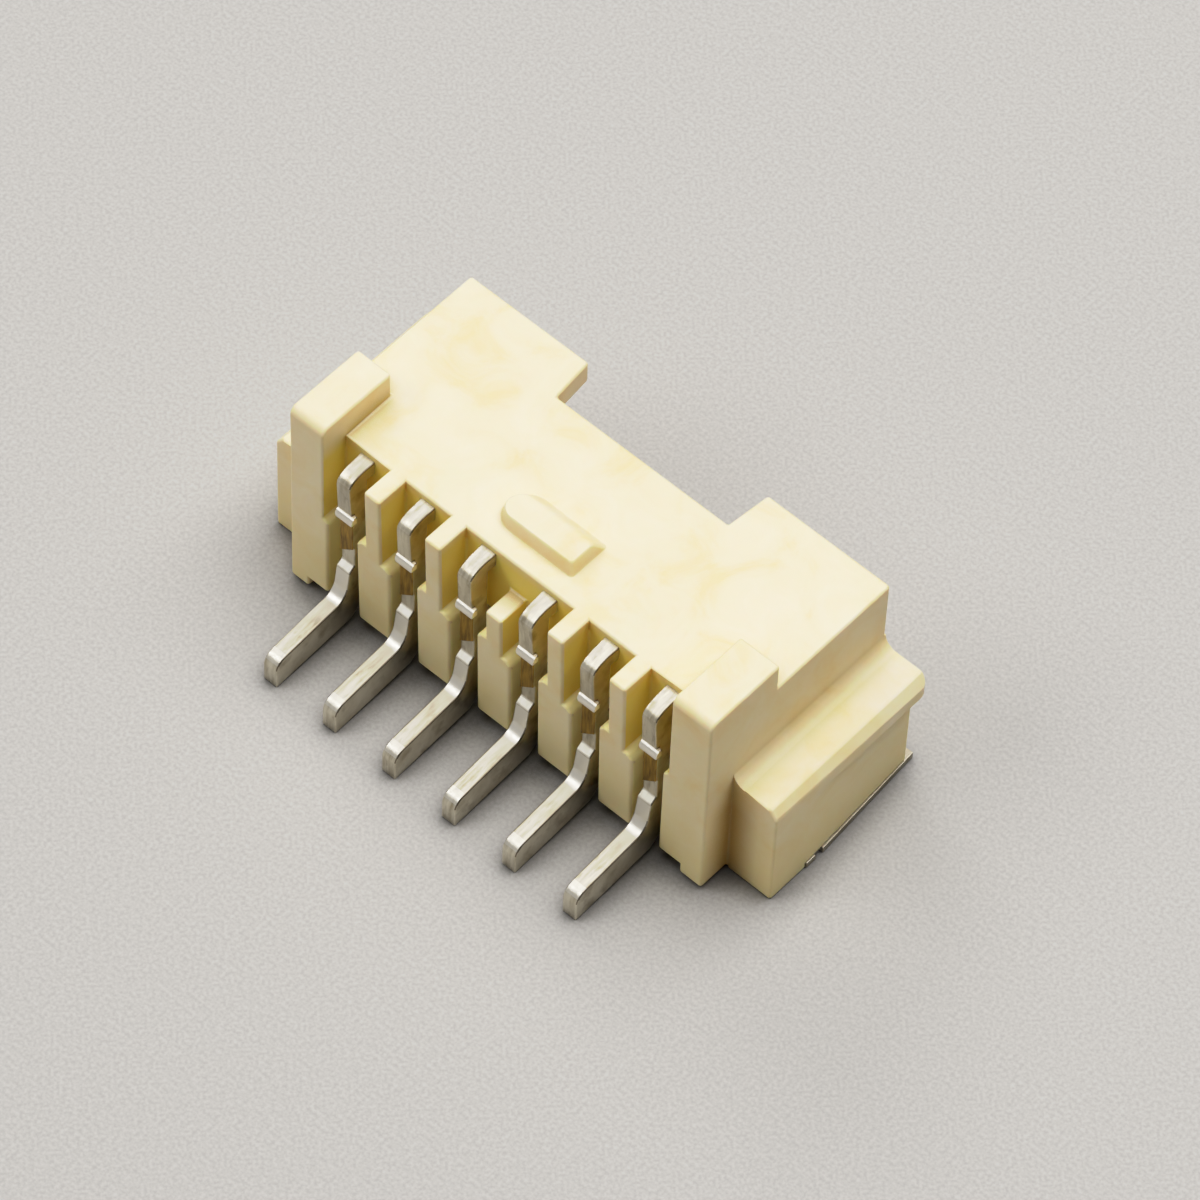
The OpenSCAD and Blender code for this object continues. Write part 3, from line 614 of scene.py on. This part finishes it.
FLOOR_HALF = 0.4
edge = np.linspace(-FLOOR_HALF, FLOOR_HALF, 3)
across, along = np.meshgrid(edge, edge, indexing="ij")
corners = np.stack([across, along, np.zeros_like(across)], axis=-1).reshape(-1, 3)
first = (np.arange(2)[:, None] * 3 + np.arange(2)).reshape(-1)
squares = np.stack([first, first + 3, first + 4, first + 1], axis=1)
mesh = bpy.data.meshes.new("floor")
mesh.from_pydata(corners.tolist(), [], squares.tolist())
floor = bpy.data.objects.new("floor", mesh)
bpy.context.scene.collection.objects.link(floor)

# Matte grey laminate: neutral, with a very fine pale and dark grain of about 0.06 mm, and a dark shade
# within half a millimetre of what stands on it.
FLOOR_GREY, FLOOR_PALE, FLOOR_CONTACT = "#A09D99", "#B1AEAA", "#3A3734"
FLOOR_GRAIN_MM, FLOOR_SPAN = 0.06, (0.3, 0.7)
CONTACT_MM, CONTACT_OPEN, CONTACT_SHARE = 0.5, (0.95, 0.3), 0.9
laminate, tree = material("grey_laminate")
place = add(tree, "ShaderNodeTexCoord")
grain = add(tree, "ShaderNodeTexNoise", {}, {"Scale": 1 / (FLOOR_GRAIN_MM * MM), "Detail": 2.0},
            {"Vector": (place, "Object")})
tone = add(tree, "ShaderNodeValToRGB", {}, {}, {"Fac": (grain, "Fac")})
stops = tone.color_ramp.elements
stops[0].position, stops[0].color = FLOOR_SPAN[0], linear(FLOOR_GREY)
stops[1].position, stops[1].color = FLOOR_SPAN[1], linear(FLOOR_PALE)
close = add(tree, "ShaderNodeAmbientOcclusion", {"samples": 8}, {"Distance": CONTACT_MM * MM})
under = add(tree, "ShaderNodeMapRange", {}, {
    "From Min": CONTACT_OPEN[0], "From Max": CONTACT_OPEN[1], "To Min": 0.0, "To Max": CONTACT_SHARE},
    {"Value": (close, "AO")})
colour = add(tree, "ShaderNodeMix", {"data_type": "RGBA"}, {"B": linear(FLOOR_CONTACT)},
             {"Factor": (under, "Result"), "A": (tone, "Color")})
shade = add(tree, "ShaderNodeBsdfPrincipled", {}, {"Roughness": 0.6}, {"Base Color": (colour, "Result")})
add(tree, "ShaderNodeOutputMaterial", {}, {}, {"Surface": (shade, "BSDF")})
floor.data.materials.append(laminate)

# The lights' places and sizes are in metres
SOFTBOX_SIDE, SOFTBOX_HEIGHT = 0.12, 0.16
SOFTBOXES = (("softbox_top", 0, 0, 0.125), ("softbox_front", 0.02, 0.06, 0.285),
             ("softbox_far", -0.2, 0.1, 0.266), ("softbox_left", -0.12, -0.12, 0.226))
for name, x, y, watts in SOFTBOXES:
    lamp = bpy.data.lights.new(name, "AREA")
    lamp.shape, lamp.size, lamp.energy = "SQUARE", SOFTBOX_SIDE, watts
    softbox = bpy.data.objects.new(name, lamp)
    softbox.location = (x, y, SOFTBOX_HEIGHT)
    bpy.context.scene.collection.objects.link(softbox)

PANEL_AT, PANEL_WIDE, PANEL_HIGH, PANEL_WATTS = Vector((-0.19, -0.46, 0.1)), 0.4, 0.3, 0.188
lamp = bpy.data.lights.new("panel_rear", "AREA")
lamp.shape, lamp.size, lamp.size_y, lamp.energy = "RECTANGLE", PANEL_WIDE, PANEL_HIGH, PANEL_WATTS
panel = bpy.data.objects.new("panel_rear", lamp)
panel.location, panel.rotation_euler = PANEL_AT, PANEL_AT.to_track_quat("Z", "Y").to_euler()
bpy.context.scene.collection.objects.link(panel)

ROOM_LIGHT = 0.005
room = bpy.data.worlds.new("room")
room.use_nodes = True
room.node_tree.nodes["Background"].inputs["Color"].default_value = (1, 1, 1, 1)
room.node_tree.nodes["Background"].inputs["Strength"].default_value = ROOM_LIGHT
bpy.context.scene.world = room

# The film: true up to mid tones, with a soft shoulder that holds the brightest faces below white.
SHOULDER_WHITE = 2.0
SHOULDER = ((0.15, 0.3), (0.33, 0.65), (0.585, 0.855), (0.735, 0.935))
look = bpy.context.scene.view_settings
look.view_transform, look.look, look.use_curve_mapping = "Standard", "None", True
look.curve_mapping.white_level = (SHOULDER_WHITE,) * 3
for at, to in SHOULDER:
    look.curve_mapping.curves[3].points.new(at, to)
for point in look.curve_mapping.curves[3].points:
    point.handle_type = "VECTOR"
look.curve_mapping.update()

AIM = Vector((0.447, 0.692, 2.0)) * MM
AZIMUTH, ELEVATION, ROLL = radians(-50.01), radians(54.74), radians(2.68)
DISTANCE, LENS, SENSOR = 0.11157, 219.03, 36
back = Vector((cos(ELEVATION) * cos(AZIMUTH), cos(ELEVATION) * sin(AZIMUTH), sin(ELEVATION)))
level = Vector((-sin(AZIMUTH), cos(AZIMUTH), 0))
rise = back.cross(level)
right = level * cos(ROLL) + rise * sin(ROLL)
up = rise * cos(ROLL) - level * sin(ROLL)
lens = bpy.data.cameras.new("camera")
lens.lens, lens.sensor_width, lens.clip_start, lens.clip_end = LENS, SENSOR, 0.001, 10
camera = bpy.data.objects.new("camera", lens)
turn = Matrix((right, up, back)).transposed().to_4x4()
camera.matrix_world = Matrix.Translation(AIM + back * DISTANCE) @ turn
bpy.context.scene.collection.objects.link(camera)
bpy.context.scene.camera = camera
